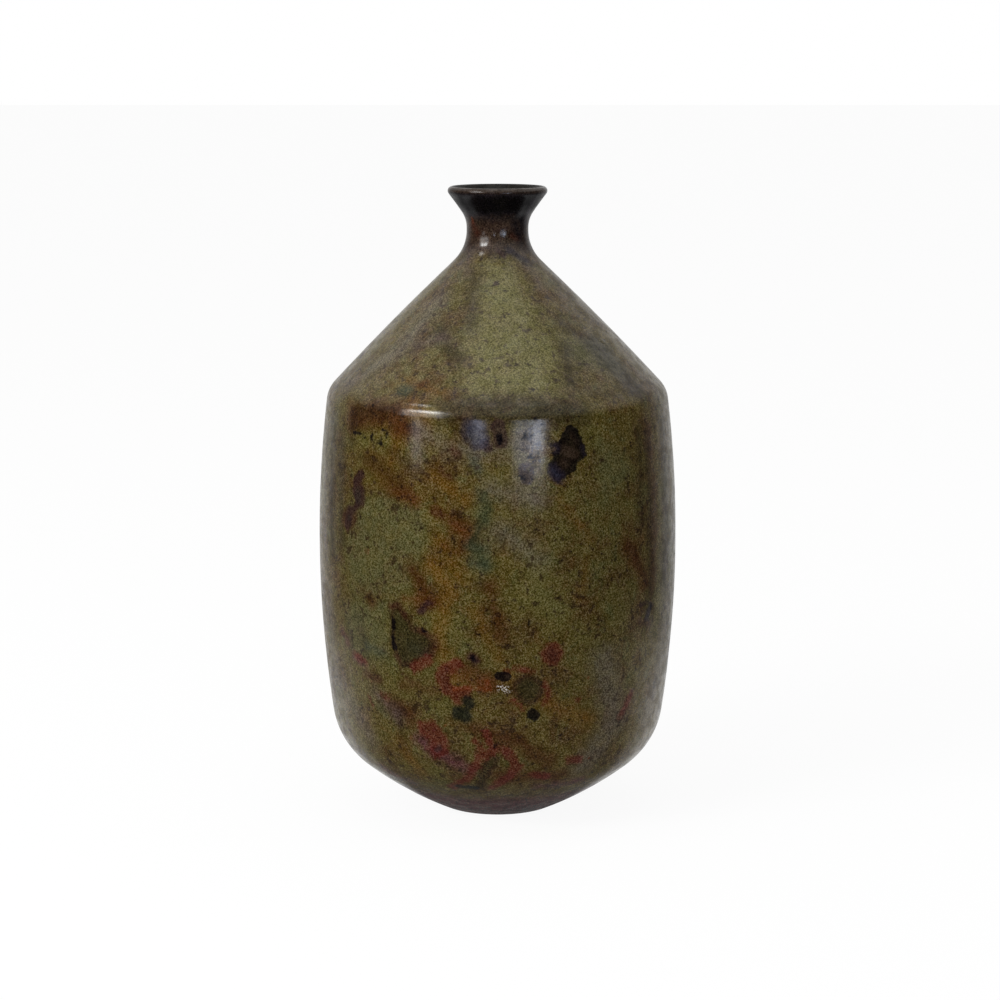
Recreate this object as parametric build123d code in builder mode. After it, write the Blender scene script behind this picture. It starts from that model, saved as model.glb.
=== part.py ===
# Cast bronze bottle vase: a turned body on a small foot, a straight conical shoulder, a narrow neck
# and a flared mouth. Millimetres, +Z up, origin at the centre of the foot's contact face.
from build123d import *

import math
import os

# Heights of the outline's corners, stacked from the foot to the crest of the lip
belly_height = 28.7
barrel_height = 145.4
cone_height = 56.8
neck_length = 10.0
flare_height = 14.1

# Radii of the outline, outside the wall
foot_radius = 24.3
body_radius = 73.15
neck_radius = 12.4
mouth_radius = 20.0
wall = 3.5

# Draw of the barrel: how far it pulls in from its widest girth, and how high above the belly that is
belly_draw = 6.85
shoulder_draw = 4.15
girth_rise = 81.4

# Roundings of the outline, and the swell of its underside
belly_round = 32.0
shoulder_round = 16.0
neck_foot_round = 17.2
neck_top_round = 11.5
underside_swell = 2.0
lip_angle = 51.2

# The most of the neck's length that its two roundings may take between them
neck_round_share = 0.985

# Foot ring, and the seat that is turned in it for the base plate
foot_bore_radius = 19.3
foot_round = 2.9
foot_bore_chamfer = 0.6
base_recess = 2.6
seat_width = 1.8
seat_thickness = 3.6

# Base plate and the solder that holds it
base_plate_thickness = 2.4
base_plate_chamfer = 0.4
plate_clearance = 0.1
solder_leg = 1.1

# Core pins, and the plugs that close their holes. The turn is the angle of the first pin of the ring.
pin_count = 3
pin_radius = 1.6
pin_rise = 21.0
pin_turn = 90.0

overrun = 5.0

os.makedirs("parts", exist_ok=True)

# Corners of the outline as (radius, height)
foot_edge = (foot_radius, 0)
belly_corner = (body_radius - belly_draw, belly_height)
girth = (body_radius, belly_height + girth_rise)
shoulder_corner = (body_radius - shoulder_draw, belly_height + barrel_height)
neck_foot = (neck_radius, shoulder_corner[1] + cone_height)
neck_top = (neck_radius, neck_foot[1] + neck_length)
crest_height = neck_top[1] + flare_height

# The lip is a half round on the end of the flared wall
lip_slope = math.radians(lip_angle)
lip_radius = wall / 2
lip_centre = (mouth_radius - lip_radius, crest_height - lip_radius)
lip_outside = (
    lip_centre[0] + lip_radius * math.sin(lip_slope),
    lip_centre[1] - lip_radius * math.cos(lip_slope),
)
lip_crown = (
    lip_centre[0] + lip_radius * math.cos(lip_slope),
    lip_centre[1] + lip_radius * math.sin(lip_slope),
)

# The two roundings of the neck share its length, so the lower one gives way where the cone is flatter
cone_run = shoulder_corner[0] - neck_radius
cone_tilt = math.atan2(cone_run, cone_height)
flare_rise = math.atan2(lip_outside[1] - neck_top[1], lip_outside[0] - neck_top[0])
flare_turn = math.pi / 2 - (2 * flare_rise - lip_slope)
neck_top_run = neck_top_round * math.tan(flare_turn / 2)
neck_foot_limit = (neck_round_share * neck_length - neck_top_run) / math.tan(cone_tilt / 2)

# Foot: the plate is pushed up against a seat, which a floor of solid bronze carries
seat_height = base_recess + base_plate_thickness
floor_height = seat_height + seat_thickness
core_opening_radius = foot_bore_radius - seat_width
floor_edge = (
    foot_radius + (belly_corner[0] - foot_radius) * floor_height / belly_height,
    floor_height,
)

# The outline, from the foot's edge up to the lip, rounded at its corners
with BuildLine() as outline:
    SagittaArc(foot_edge, belly_corner, -underside_swell)
    ThreePointArc(belly_corner, girth, shoulder_corner)
    Line(shoulder_corner, neck_foot)
    Line(neck_foot, neck_top)
    TangentArc(lip_outside, neck_top, tangent=(-math.cos(lip_slope), -math.sin(lip_slope)))
    fillet(outline.vertices().sort_by_distance(belly_corner)[0], radius=belly_round)
    fillet(outline.vertices().sort_by_distance(shoulder_corner)[0], radius=shoulder_round)
    fillet(outline.vertices().sort_by_distance(neck_foot)[0], radius=min(neck_foot_round, neck_foot_limit))
    fillet(outline.vertices().sort_by_distance(neck_top)[0], radius=neck_top_round)

# The cavity's side of the wall runs parallel to the outline, one wall's thickness to its left
with BuildLine() as cavity_line:
    for edge in outline.edges():
        inset_points = [edge @ share + (edge % share).rotate(Axis.Z, 90) * wall for share in (0, 0.5, 1)]
        if edge.geom_type == GeomType.LINE:
            Line(inset_points[0], inset_points[-1])
        else:
            ThreePointArc(inset_points)

# The wall's section, with the foot ring added to it
with BuildSketch(Plane.XZ) as wall_section:
    with BuildLine():
        add(outline.line)
        add(cavity_line.line)
        Line(outline.wire() @ 0, cavity_line.wire() @ 0)
        ThreePointArc(outline.wire() @ 1, lip_crown, cavity_line.wire() @ 1)
    make_face()
    with BuildLine():
        Polyline(
            (foot_bore_radius, 0),
            foot_edge,
            floor_edge,
            (core_opening_radius, floor_height),
            (core_opening_radius, seat_height),
            (foot_bore_radius, seat_height),
            close=True,
        )
    make_face()
    fillet(wall_section.vertices().sort_by_distance(foot_edge)[0], radius=foot_round)
    chamfer(wall_section.vertices().sort_by_distance((foot_bore_radius, 0))[0], length=foot_bore_chamfer)

# The casting as it comes from the mould, before the pins' holes are closed
with BuildPart() as casting:
    add(wall_section.sketch)
    revolve(axis=Axis.Z)

# The pins stand square to the cone
pin_length = wall + 2 * overrun
pin_ring_radius = shoulder_corner[0] - cone_run * pin_rise / cone_height
pin_slope = 90 - math.degrees(cone_tilt)
with BuildPart() as core_pins:
    with PolarLocations(0, pin_count, start_angle=pin_turn):
        with Locations(Location((pin_ring_radius, 0, shoulder_corner[1] + pin_rise), (0, pin_slope, 0))):
            Cylinder(pin_radius, pin_length)

with BuildPart() as vessel_shell:
    add(casting.part)
    add(core_pins.part, mode=Mode.SUBTRACT)
vessel_shell.part.label = "vessel_shell"
export_step(vessel_shell.part, "parts/vessel_shell.step")

# Each plug fills its hole and is dressed flush with the wall, inside and out
with BuildPart() as shoulder_core_plugs:
    add(casting.part)
    add(core_pins.part, mode=Mode.INTERSECT)
shoulder_core_plugs.part.label = "shoulder_core_plugs"
export_step(shoulder_core_plugs.part, "parts/shoulder_core_plugs.step")

# The plate that closes the core opening from below
with BuildPart() as base_plate:
    with BuildSketch(Plane.XY.offset(base_recess)):
        Circle(foot_bore_radius - plate_clearance)
    extrude(amount=base_plate_thickness)
    chamfer(base_plate.edges().sort_by(Axis.Z)[-1], length=base_plate_chamfer)
base_plate.part.label = "base_plate"
export_step(base_plate.part, "parts/base_plate.step")

# The solder lies in the corner under the plate's edge, all the way round
with BuildPart() as base_solder:
    with BuildSketch(Plane.XZ):
        with BuildLine():
            Polyline(
                (foot_bore_radius, base_recess),
                (foot_bore_radius, base_recess - solder_leg),
                (foot_bore_radius - solder_leg, base_recess),
                close=True,
            )
        make_face()
    revolve(axis=Axis.Z)
base_solder.part.label = "base_solder"
export_step(base_solder.part, "parts/base_solder.step")
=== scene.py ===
"""Looks of a cast bronze bottle vase: its wall, the plugs of its core pins, its base and its patina."""

import math
import random

import bmesh
import bpy
import numpy as np
from mathutils import Matrix, Vector, noise
from mathutils.bvhtree import BVHTree


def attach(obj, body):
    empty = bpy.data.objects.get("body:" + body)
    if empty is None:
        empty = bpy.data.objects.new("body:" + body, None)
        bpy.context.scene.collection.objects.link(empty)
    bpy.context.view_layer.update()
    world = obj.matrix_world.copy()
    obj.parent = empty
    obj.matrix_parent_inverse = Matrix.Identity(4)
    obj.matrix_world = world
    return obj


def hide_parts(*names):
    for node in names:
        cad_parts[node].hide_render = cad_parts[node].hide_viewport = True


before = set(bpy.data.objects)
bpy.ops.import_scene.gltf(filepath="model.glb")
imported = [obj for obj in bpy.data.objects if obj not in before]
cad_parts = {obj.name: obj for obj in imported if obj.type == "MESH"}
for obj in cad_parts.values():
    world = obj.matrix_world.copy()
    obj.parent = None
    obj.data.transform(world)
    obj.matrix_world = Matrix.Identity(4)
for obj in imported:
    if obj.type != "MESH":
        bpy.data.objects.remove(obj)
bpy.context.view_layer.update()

MM = 0.001

# Camera of the photograph: focal length and picture side in pixels, pitch in degrees, place in millimetres.
# A fit to the vase's outline gave its pitch and place.
FOCAL_PIXELS = 2600.0
PICTURE_PIXELS = 1000.0
SENSOR = 36.0
CAMERA_PITCH = 10.012
CAMERA_BACK = 1051.9
CAMERA_HEIGHT = 312.5
CAMERA_ASIDE = 1.0

# Outline of the wall, as arcs of (radius, heading at the end, rings drawn on it), in millimetres and degrees.
# A heading is the direction of travel, 0 outwards and 90 upwards. The first list starts at the edge of the
# foot's flat and ends where the neck stands upright, and the second goes on from there to the lip. The larger
# radii and the headings come from an earlier outline of the solids, and aren't worked out here.
FOOT_FLAT_RADIUS = 23.65
BODY_ARCS = (
    (2.9, 25.58, 5),
    (162.73, 38.77, 28),
    (32.0, 81.77, 20),
    (485.4, 97.05, 92),
    (11.4, 133.03, 10),
    (1150.6, 136.48, 48),
    (17.0, 90.0, 12),
)
NECK_STRAIGHT = 1.04
MOUTH_ARCS = ((11.0, 56.48, 6), (101.0, 51.2, 8))
UPRIGHT = 90.0
LIP_RINGS = 10
WALL = 3.5
INNER_RING_SHARE = 0.2

# Foot, as it is on the solid
BORE_RADIUS = 19.3
BORE_CHAMFER = 0.6
SEAT_RADIUS = 17.5
SEAT_HEIGHT = 5.0
FLOOR_HEIGHT = 8.6

# Mesh of the wall: steps around it, sizes in millimetres, and the angle in degrees at which an edge is sharp
AROUND = 336
WELD = 0.001
DRESSING = 0.12
DRESSING_LENGTH = 26.0
SHARP_ANGLE = 40
LEAST_INNER_RINGS = 3

# Core pin plugs
PLUG_RADIUS = 1.6
PLUG_AZIMUTHS = (90.0, 210.0, 330.0)
PLUG_HEIGHT = 195.1
PLUG_DEPTH = 3.2
PLUG_PROUD = 0.04
PLUG_SEGMENTS = 40
PLUG_RIM_ANGLE = 60
PLUG_BEVEL = 0.12
BEVEL_SEGMENTS = 2


def linear(code):
    """An sRGB hex colour as the linear colour that a node takes."""
    parts = [int(code[i:i + 2], 16) / 255 for i in (1, 3, 5)]
    return [p / 12.92 if p <= 0.04045 else ((p + 0.055) / 1.055) ** 2.4 for p in parts] + [1.0]


def add(tree, kind, links=None, **settings):
    """Adds one node. Its settings are properties, and links fills its inputs with values or with sockets."""
    made = tree.nodes.new("ShaderNode" + kind)
    for name, value in settings.items():
        setattr(made, name, value)
    for place, value in (links or {}).items():
        socket = made.inputs[place]
        if isinstance(value, bpy.types.NodeSocket):
            tree.links.new(value, socket)
        else:
            socket.default_value = value
    return made


def add_object(name, data):
    """Adds an object to the scene, at the origin."""
    made = bpy.data.objects.new(name, data)
    bpy.context.collection.objects.link(made)
    return made


def new_material(name):
    """An empty material with its surface output."""
    material = bpy.data.materials.new(name)
    material.use_nodes = True
    material.node_tree.nodes.clear()
    return material, material.node_tree, add(material.node_tree, "OutputMaterial")


# Camera
camera_data = bpy.data.cameras.new("camera")
camera = add_object("camera", camera_data)
camera_data.sensor_width = SENSOR
camera_data.lens = FOCAL_PIXELS / PICTURE_PIXELS * SENSOR
camera.location = (CAMERA_ASIDE * MM, -CAMERA_BACK * MM, CAMERA_HEIGHT * MM)
camera.rotation_euler = (math.radians(90 - CAMERA_PITCH), 0, 0)
bpy.context.scene.camera = camera


# Geometry of the wall
def draw_arcs(mesh, tip, heading, arcs):
    """Draws the arcs of an outline on from its tip, and returns the new tip."""
    for radius, end_heading, rings in arcs:
        side = 1 if end_heading > heading else -1
        start = math.radians(heading)
        centre = tip.co + Vector((-math.sin(start), 0, math.cos(start))) * side * radius * MM
        turn = math.radians(abs(end_heading - heading))
        drawn = bmesh.ops.spin(mesh, geom=[tip], cent=centre, axis=(0, -side, 0), angle=turn, steps=rings)
        tip = drawn["geom_last"][0]
        heading = end_heading
    return tip


def draw_line(mesh, tip, radius, height):
    """Draws a straight stretch of the outline to a radius and a height, in metres."""
    drawn = bmesh.ops.extrude_vert_indiv(mesh, verts=[tip])
    drawn["verts"][0].co = (radius, 0, height)
    return drawn["verts"][0]


def arcs_inside(heading, arcs):
    """The arcs of the cavity beside arcs of the outline, in the order that they are met going back down."""
    inside = []
    for radius, end_heading, rings in arcs:
        inner_radius = radius - WALL if end_heading > heading else radius + WALL
        inner_rings = max(LEAST_INNER_RINGS, round(rings * INNER_RING_SHARE))
        inside.append((inner_radius, heading + 180, inner_rings))
        heading = end_heading
    return inside[::-1]


def wall_outline(mesh):
    """The closed outline of the wall, up the outside from the foot, round the lip and down the cavity."""
    first = bmesh.ops.create_vert(mesh, co=(FOOT_FLAT_RADIUS * MM, 0, 0))["vert"][0]
    tip = draw_arcs(mesh, first, 0, BODY_ARCS)
    tip = draw_line(mesh, tip, tip.co.x, tip.co.z + NECK_STRAIGHT * MM)
    tip = draw_arcs(mesh, tip, UPRIGHT, MOUTH_ARCS)
    lip_heading = MOUTH_ARCS[-1][1]
    tip = draw_arcs(mesh, tip, lip_heading, [(WALL / 2, lip_heading + 180, LIP_RINGS)])
    tip = draw_arcs(mesh, tip, lip_heading + 180, arcs_inside(UPRIGHT, MOUTH_ARCS))
    tip = draw_line(mesh, tip, tip.co.x, tip.co.z - NECK_STRAIGHT * MM)
    down = arcs_inside(0, BODY_ARCS)[:-1]
    tip = draw_arcs(mesh, tip, UPRIGHT + 180, down[:-1])
    underside_radius, _, underside_rings = down[-1]
    underside_heading = BODY_ARCS[1][1]
    drop = tip.co.z / MM - FLOOR_HEIGHT
    floor_level = math.cos(math.radians(underside_heading)) + drop / underside_radius
    floor_heading = math.degrees(math.acos(floor_level))
    underside = [(underside_radius, floor_heading + 180, underside_rings)]
    tip = draw_arcs(mesh, tip, underside_heading + 180, underside)
    for radius, height in (
        (SEAT_RADIUS, FLOOR_HEIGHT),
        (SEAT_RADIUS, SEAT_HEIGHT),
        (BORE_RADIUS, SEAT_HEIGHT),
        (BORE_RADIUS, BORE_CHAMFER),
        (BORE_RADIUS + BORE_CHAMFER, 0),
    ):
        tip = draw_line(mesh, tip, radius * MM, height * MM)
    mesh.edges.new((tip, first))


def dress_wall(mesh):
    """Leaves the slight unevenness of a wall that was scraped and rubbed down by hand."""
    for vertex in mesh.verts:
        outward = Vector((vertex.co.x, vertex.co.y, 0))
        if vertex.co.z > FLOOR_HEIGHT * MM and outward.length > BORE_RADIUS * MM:
            wave = noise.noise(vertex.co / (DRESSING_LENGTH * MM))
            vertex.co -= outward.normalized() * (wave + 1) / 2 * DRESSING * MM


def finish_piece(name, mesh, material, slot, *nodes):
    """Turns a bmesh into a smooth shaded piece that rides with the vase and stands for its CAD nodes."""
    bmesh.ops.recalc_face_normals(mesh, faces=mesh.faces)
    for face in mesh.faces:
        face.smooth = True
    data = bpy.data.meshes.new(name)
    mesh.to_mesh(data)
    mesh.free()
    data.set_sharp_from_angle(angle=math.radians(SHARP_ANGLE))
    piece = add_object(name, data)
    data.materials.append(material)
    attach(piece, "root")
    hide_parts(*nodes)
    return piece


def cast_shell(material):
    """The whole wall of the vase, foot ring included."""
    mesh = bmesh.new()
    wall_outline(mesh)
    outline = mesh.verts[:] + mesh.edges[:]
    bmesh.ops.spin(
        mesh, geom=outline, cent=(0, 0, 0), axis=(0, 0, 1), angle=math.tau, steps=AROUND, use_merge=True
    )
    bmesh.ops.remove_doubles(mesh, verts=mesh.verts, dist=WELD * MM)
    dress_wall(mesh)
    return finish_piece("cast_shell", mesh, material, "patinated_bronze", "vessel_shell")


# Places on the wall
def wall_under_pixel(wall, x, y):
    """The place on the wall, and its outward direction, that the photograph shows at a pixel."""
    middle = PICTURE_PIXELS / 2
    ray = Vector(((x - middle) / FOCAL_PIXELS, (middle - y) / FOCAL_PIXELS, -1))
    ray.rotate(camera.rotation_euler)
    place, outward, _, _ = wall.ray_cast(camera.location, ray.normalized())
    return place, outward


def wall_at_height(wall, azimuth, height):
    """The place on the wall, and its outward direction, at a height and an azimuth counted from the front."""
    turn = math.radians(azimuth)
    away = Vector((math.sin(turn), -math.cos(turn), 0))
    start = away + Vector((0, 0, height * MM))
    place, outward, _, _ = wall.ray_cast(start, -away)
    return place, outward


TINY = 1e-9


def depth_in_mark(corners, across, along):
    """How deep points lie inside a mark of straight sides or, below zero, how far they are outside it."""
    closed = len(corners) > 2 and corners[0] == corners[-1]
    nearest = np.full(across.shape, np.inf)
    inside = np.zeros(across.shape, bool)
    if len(corners) == 1:
        corners = corners * 2
    for (x0, y0), (x1, y1) in zip(corners, corners[1:]):
        run, rise = x1 - x0, y1 - y0
        length = max(run * run + rise * rise, TINY)
        share = np.clip(((across - x0) * run + (along - y0) * rise) / length, 0, 1)
        nearest = np.minimum(nearest, np.hypot(across - x0 - share * run, along - y0 - share * rise))
        if closed:
            crosses = (y0 > along) != (y1 > along)
            inside ^= crosses & (across < x0 + (along - y0) * run / (rise if rise else TINY))
    return np.where(inside, nearest, -nearest)


# Depth of a point outside every mark and how far a mark reaches, in millimetres, and the least cosine
# between its direction and a point's
FAR_OUTSIDE = -30.0
BLEED = 40.0
LEAST_FACING = 0.15


class Skin:
    """The places and directions of a piece's points, and how deep each of them lies in every kind of mark."""

    def __init__(self, piece):
        self.data = piece.data
        count = len(self.data.vertices)
        spots = np.empty(count * 3, np.float32)
        normals = np.empty(count * 3, np.float32)
        self.data.vertices.foreach_get("co", spots)
        self.data.vertices.foreach_get("normal", normals)
        self.spots = spots.reshape(-1, 3) / MM
        self.normals = normals.reshape(-1, 3)
        self.outer = (self.spots[:, :2] * self.normals[:, :2]).sum(axis=1) >= 0
        self.depths = {kind: np.full(count, FAR_OUTSIDE, np.float32) for kind in MARKS}

    def mark(self, kind, places, grown):
        """Adds one mark, which is flat in the plane that touches its middle."""
        middle = sum((place for place, _ in places), Vector()) / len(places)
        outward = sum((normal for _, normal in places), Vector()).normalized()
        sideways = Vector((0, 0, 1)).cross(outward).normalized()
        upwards = outward.cross(sideways)
        steps = self.spots - np.array(middle) / MM
        near = self.outer & (self.normals @ np.array(outward) > LEAST_FACING)
        near &= np.abs(steps @ np.array(outward)) < BLEED
        near &= np.abs(steps @ np.array(upwards)) < BLEED
        steps = steps[near]
        moves = [place - middle for place, _ in places]
        corners = [(move.dot(sideways) / MM, move.dot(upwards) / MM) for move in moves]
        depth = depth_in_mark(corners, steps @ np.array(sideways), steps @ np.array(upwards)) + grown
        self.depths[kind][near] = np.maximum(self.depths[kind][near], depth)

    def belt(self, kind, low, high):
        """Adds a mark that runs right round the outside between two heights."""
        heights = self.spots[:, 2]
        depth = np.where(self.outer, np.minimum(heights - low, high - heights), FAR_OUTSIDE)
        self.depths[kind] = np.maximum(self.depths[kind], depth.astype(np.float32))

    def inside(self, kind, depth):
        """Covers the cavity's side of the wall."""
        self.depths[kind][~self.outer] = depth

    def keep(self):
        """Stores the depths as attributes, which the patina reads."""
        for kind, depth in self.depths.items():
            layer = self.data.attributes.new(kind, "FLOAT", "POINT")
            layer.data.foreach_set("value", np.maximum(depth, FAR_OUTSIDE))


# Patina. Each mark has a half-width in millimetres and the pixels that it runs through in the photograph, and
# it is filled where it ends on the pixel that it began on. The pixels were chosen in enlarged crops.

# Broad tints, whose edges fade
KHAKI = {
    # 'cone front' and 'cone sheen' are painted reflection: the paler front of the cone stands in for the
    # ceiling that it mirrors. The other khaki marks are patina.
    "cone front": (1.0, (486, 262), (508, 260), (530, 300), (560, 350), (566, 392), (470, 398), (474, 340),
                   (480, 300),
                   (486, 262)),
    "cone sheen": (2.0, (470, 350), (530, 358)),
    "low left": (2.0, (436, 620), (456, 634)),
    "low left, lower": (0.0, (396, 668), (436, 680), (450, 700), (432, 706), (404, 690), (396, 668)),
    "beside blotch": (2.0, (588, 418), (592, 436)),
    "speckled cluster": (2.0, (360, 438), (372, 446), (382, 440)),
    "front right": (1.0, (524, 540), (548, 560), (544, 600), (524, 590), (524, 540)),
    "centre": (6.0, (530, 590), (558, 612)),
    "low right": (2.0, (576, 628), (600, 650)),
    "bottom left": (1.0, (412, 764), (440, 772)),
}
SAGE = {
    "left of front": (2.0, (352, 504), (384, 496), (424, 510), (424, 548), (404, 590), (356, 600), (346, 556),
                      (352, 504)),
    "low left": (3.0, (346, 606), (386, 604), (386, 660), (352, 650), (346, 606)),
    "cone right": (2.0, (560, 338), (606, 346), (620, 372), (580, 366), (560, 338)),
    "front": (2.0, (480, 490), (496, 540), (484, 580), (470, 560), (480, 490)),
    "right of blotch": (3.0, (600, 440), (630, 470), (604, 500), (600, 440)),
    "upper front": (2.0, (466, 460), (500, 486)),
}
OCHRE = {
    "left shoulder": (2.0, (398, 438), (388, 470), (400, 486)),
    "left shoulder low": (3.0, (368, 458), (384, 474), (404, 488)),
    "upper middle": (2.0, (434, 474), (466, 500)),
    "cone foot": (2.0, (404, 382), (450, 396)),
    "middle left": (3.0, (432, 564), (450, 590)),
    "low left": (3.0, (446, 590), (438, 640), (456, 684)),
    "low middle": (1.5, (474, 610), (500, 660), (520, 700)),
    "front": (2.0, (440, 540), (460, 580)),
    "middle right": (0.0, (560, 500), (590, 540), (580, 600)),
    "beside rust": (2.0, (410, 400), (426, 420)),
    "lower right": (3.0, (540, 700), (590, 720)),
    "bottom": (2.0, (400, 740), (420, 770)),
}
# Painted sheen: pale grey strokes that stand in for soft reflections below the shoulder, in a column, on the
# cone's left and along the low edges
PAINTED_SHEEN = {
    "shoulder": (3.0, (420, 430), (450, 450), (500, 450), (540, 430)),
    "below": (3.0, (490, 490), (540, 500)),
    "column": (2.0, (416, 424), (418, 460)),
    "front": (3.0, (500, 530), (540, 560)),
    "cone left": (4.0, (440, 300), (400, 350), (350, 385)),
    "lower right": (6.5, (604, 660), (614, 720), (584, 764)),
    "lower left": (3.0, (350, 700), (372, 740)),
    "edge low left": (3.0, (330, 590), (334, 660), (346, 712)),
    "edge low right": (3.0, (664, 600), (658, 670), (644, 722)),
}
RUST = {
    "left shoulder": (1.0, (350, 405), (408, 404), (414, 432), (398, 436), (388, 426), (368, 424), (352, 430),
                      (350, 405)),
    "left cone": (1.0, (410, 388), (440, 380)),
    "left of front": (2.0, (392, 490), (418, 500)),
    "front streak": (2.4, (450, 520), (474, 530), (466, 548)),
    "above patch": (3.0, (412, 570), (430, 600)),
    "low left": (1.5, (362, 590), (372, 602)),
    "under C": (2.0, (464, 668), (494, 680), (484, 692)),
    "right edge": (2.0, (648, 430), (654, 500), (652, 590)),
    "right brown": (4.0, (628, 545), (646, 580)),
    "bottom": (3.0, (474, 728), (520, 742), (548, 762)),
    "bottom left": (3.0, (392, 704), (408, 716)),
    "bottom right": (3.0, (500, 774), (560, 776)),
    "under left": (2.0, (404, 684), (436, 690)),
    "middle": (2.0, (490, 584), (500, 640)),
}
COPPER = {
    "left shoulder": (1.0, (394, 416), (402, 430)),
    "left of front": (2.0, (400, 494), (414, 500)),
    "dark red": (1.6, (434, 508), (440, 514)),
    "front streak": (2.0, (456, 528), (468, 540)),
    "front streak low": (1.2, (446, 546), (456, 552)),
    "above patch": (1.0, (404, 598), (424, 600)),
    "C fill": (3.0, (462, 676), (488, 684)),
}
# Umber patina, partly painted shade: the strokes along the left and right edges paint shade there, and the
# strokes on the cone's right make it darker
UMBER_AND_PAINTED_SHADE = {
    "cone strip": (2.0, (474, 272), (470, 330)),
    "cone left": (3.0, (440, 330), (458, 360)),
    "cone right": (3.0, (566, 350), (572, 384)),
    "cone right, low": (7.0, (596, 346), (632, 386)),
    "cone right, mid": (2.0, (560, 322), (596, 352)),
    # Painted shade in a band under the cone's edge, as also 'cone foot right', 'shoulder left' and 'cone low'
    "shoulder front": (6.0, (450, 411), (576, 413)),
    "cone foot right": (1.0, (560, 392), (620, 396)),
    "left ochre": (2.5, (366, 458), (384, 472), (402, 484)),
    "left of blue": (0.0, (430, 466), (452, 476)),
    "bottom left": (1.0, (396, 706), (403, 744)),
    "low left": (1.0, (358, 616), (366, 650)),
    "ochre": (1.8, (392, 452), (412, 468)),
    # Painted shade along the right edge
    "right": (2.0, (638, 430), (642, 520)),
    "right edge": (2.0, (644, 420), (648, 640)),
    "shoulder left": (1.4, (356, 410), (396, 410)),
    "cone low": (2.0, (452, 396), (476, 404)),
    "beside rust": (1.5, (354, 414), (352, 440)),
    # Painted shade along the left and far right edges
    "left edge": (3.0, (334, 420), (333, 550)),
    "left edge, inner": (2.0, (342, 440), (342, 540)),
    "far right edge": (3.0, (662, 420), (664, 580)),
}
MAUVE = {
    "cone patch": (2.6, (416, 346), (430, 342), (444, 338)),
    "cone right": (2.0, (520, 258), (540, 284)),
    "neck foot left": (1.5, (468, 250), (466, 274)),
    # Painted reflection along the left edge
    "left edge": (2.0, (328, 430), (326, 560)),
    "bottom left": (3.0, (376, 694), (398, 716)),
    # Painted reflection: a pale column under the shoulder's highlight
    "column": (1.4, (417, 430), (418, 454)),
}
ROSE = {
    # 'under left' and 'under right' are partly painted reflection of the floor on the underside
    "under left": (2.0, (384, 768), (410, 782)),
    "under right": (2.0, (540, 786), (580, 780)),
    "left": (1.4, (342, 632), (348, 642)),
    "salmon": (1.6, (354, 656), (362, 662)),
    "bottom": (3.0, (420, 740), (470, 770)),
}
SLATE = {
    "neck foot right": (1.5, (510, 252), (526, 262)),
    "patch": (2.4, (412, 646), (424, 652)),
    "blue-green tint": (1.4, (368, 646), (382, 652)),
    "front": (1.6, (474, 458), (478, 470)),
    "front low": (1.6, (472, 562), (486, 568)),
    "front middle": (1.6, (468, 544), (484, 550)),
}

# Clear marks, whose edges are ragged
MOSS = {
    "olive disc": (6.2, (527, 689), (529, 691)),
    "patch": (0.0, (390, 604), (398, 601), (406, 612), (414, 626), (428, 632), (438, 644), (430, 654),
              (414, 666),
              (402, 669), (396, 660), (390, 640), (390, 604)),
    "bottom": (0.0, (492, 752), (502, 757), (497, 767), (490, 775), (485, 790), (475, 790), (477, 775),
               (482, 762),
               (492, 752)),
}
TEAL = {
    "front patch": (2.2, (484, 496), (487, 508), (484, 520)),
    "front patch middle": (1.4, (479, 526), (474, 540)),
    "front patch low": (2.6, (472, 546), (482, 556), (487, 566)),
    "cone oval": (2.8, (402, 389), (407, 391)),
    "cone": (0.8, (437, 309),),
}
VERDIGRIS = {
    "green patch upper": (2.0, (467, 700), (470, 705)),
    "green patch lower": (3.0, (459, 713), (466, 716)),
    "bottom": (1.4, (458, 786), (476, 788)),
}
CRIMSON = {
    "bottom patch": (0.2, (419, 722), (436, 721), (445, 735), (450, 747), (446, 754), (435, 759), (429, 750),
                     (430, 740), (419, 732), (419, 722)),
    "disc": (4.7, (551.5, 654.5),),
    "C upper": (2.6, (456, 665), (445, 669), (441, 677), (444, 685)),
    "C lower": (2.4, (448, 689), (456, 693), (466, 692)),
    "C foot": (1.6, (454, 697), (458, 702)),
    "under patch": (2.4, (415, 668), (428, 660)),
    "speck one": (1.6, (356, 655), (364, 661)),
    "speck two": (1.2, (382, 694), (388, 697)),
    "speck three": (0.8, (370, 698), (373, 704)),
    "bottom band": (1.8, (495, 750), (480, 757), (472, 770), (470, 777), (452, 787)),
    "bottom right arm": (2.0, (505, 750), (518, 767), (510, 775), (492, 788)),
    "net": (1.6, (486, 732), (492, 748)),
    "net left": (1.2, (474, 740), (482, 752)),
    "bottom right": (2.0, (533, 775), (546, 776)),
    "bottom far right": (2.0, (569, 759), (578, 761)),
    "dot": (0.7, (367, 551),),
    "right dot": (0.9, (579, 700),),
    "arc": (0.9, (506, 671), (518, 668), (533, 671)),
    "disc rim right": (1.1, (546, 683), (549, 694), (543, 704)),
    "disc rim low": (0.9, (514, 700), (524, 709)),
    "right streak": (1.8, (631, 694), (620, 716)),
    "beside green patch": (0.9, (455, 697), (459, 704)),
}
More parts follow.
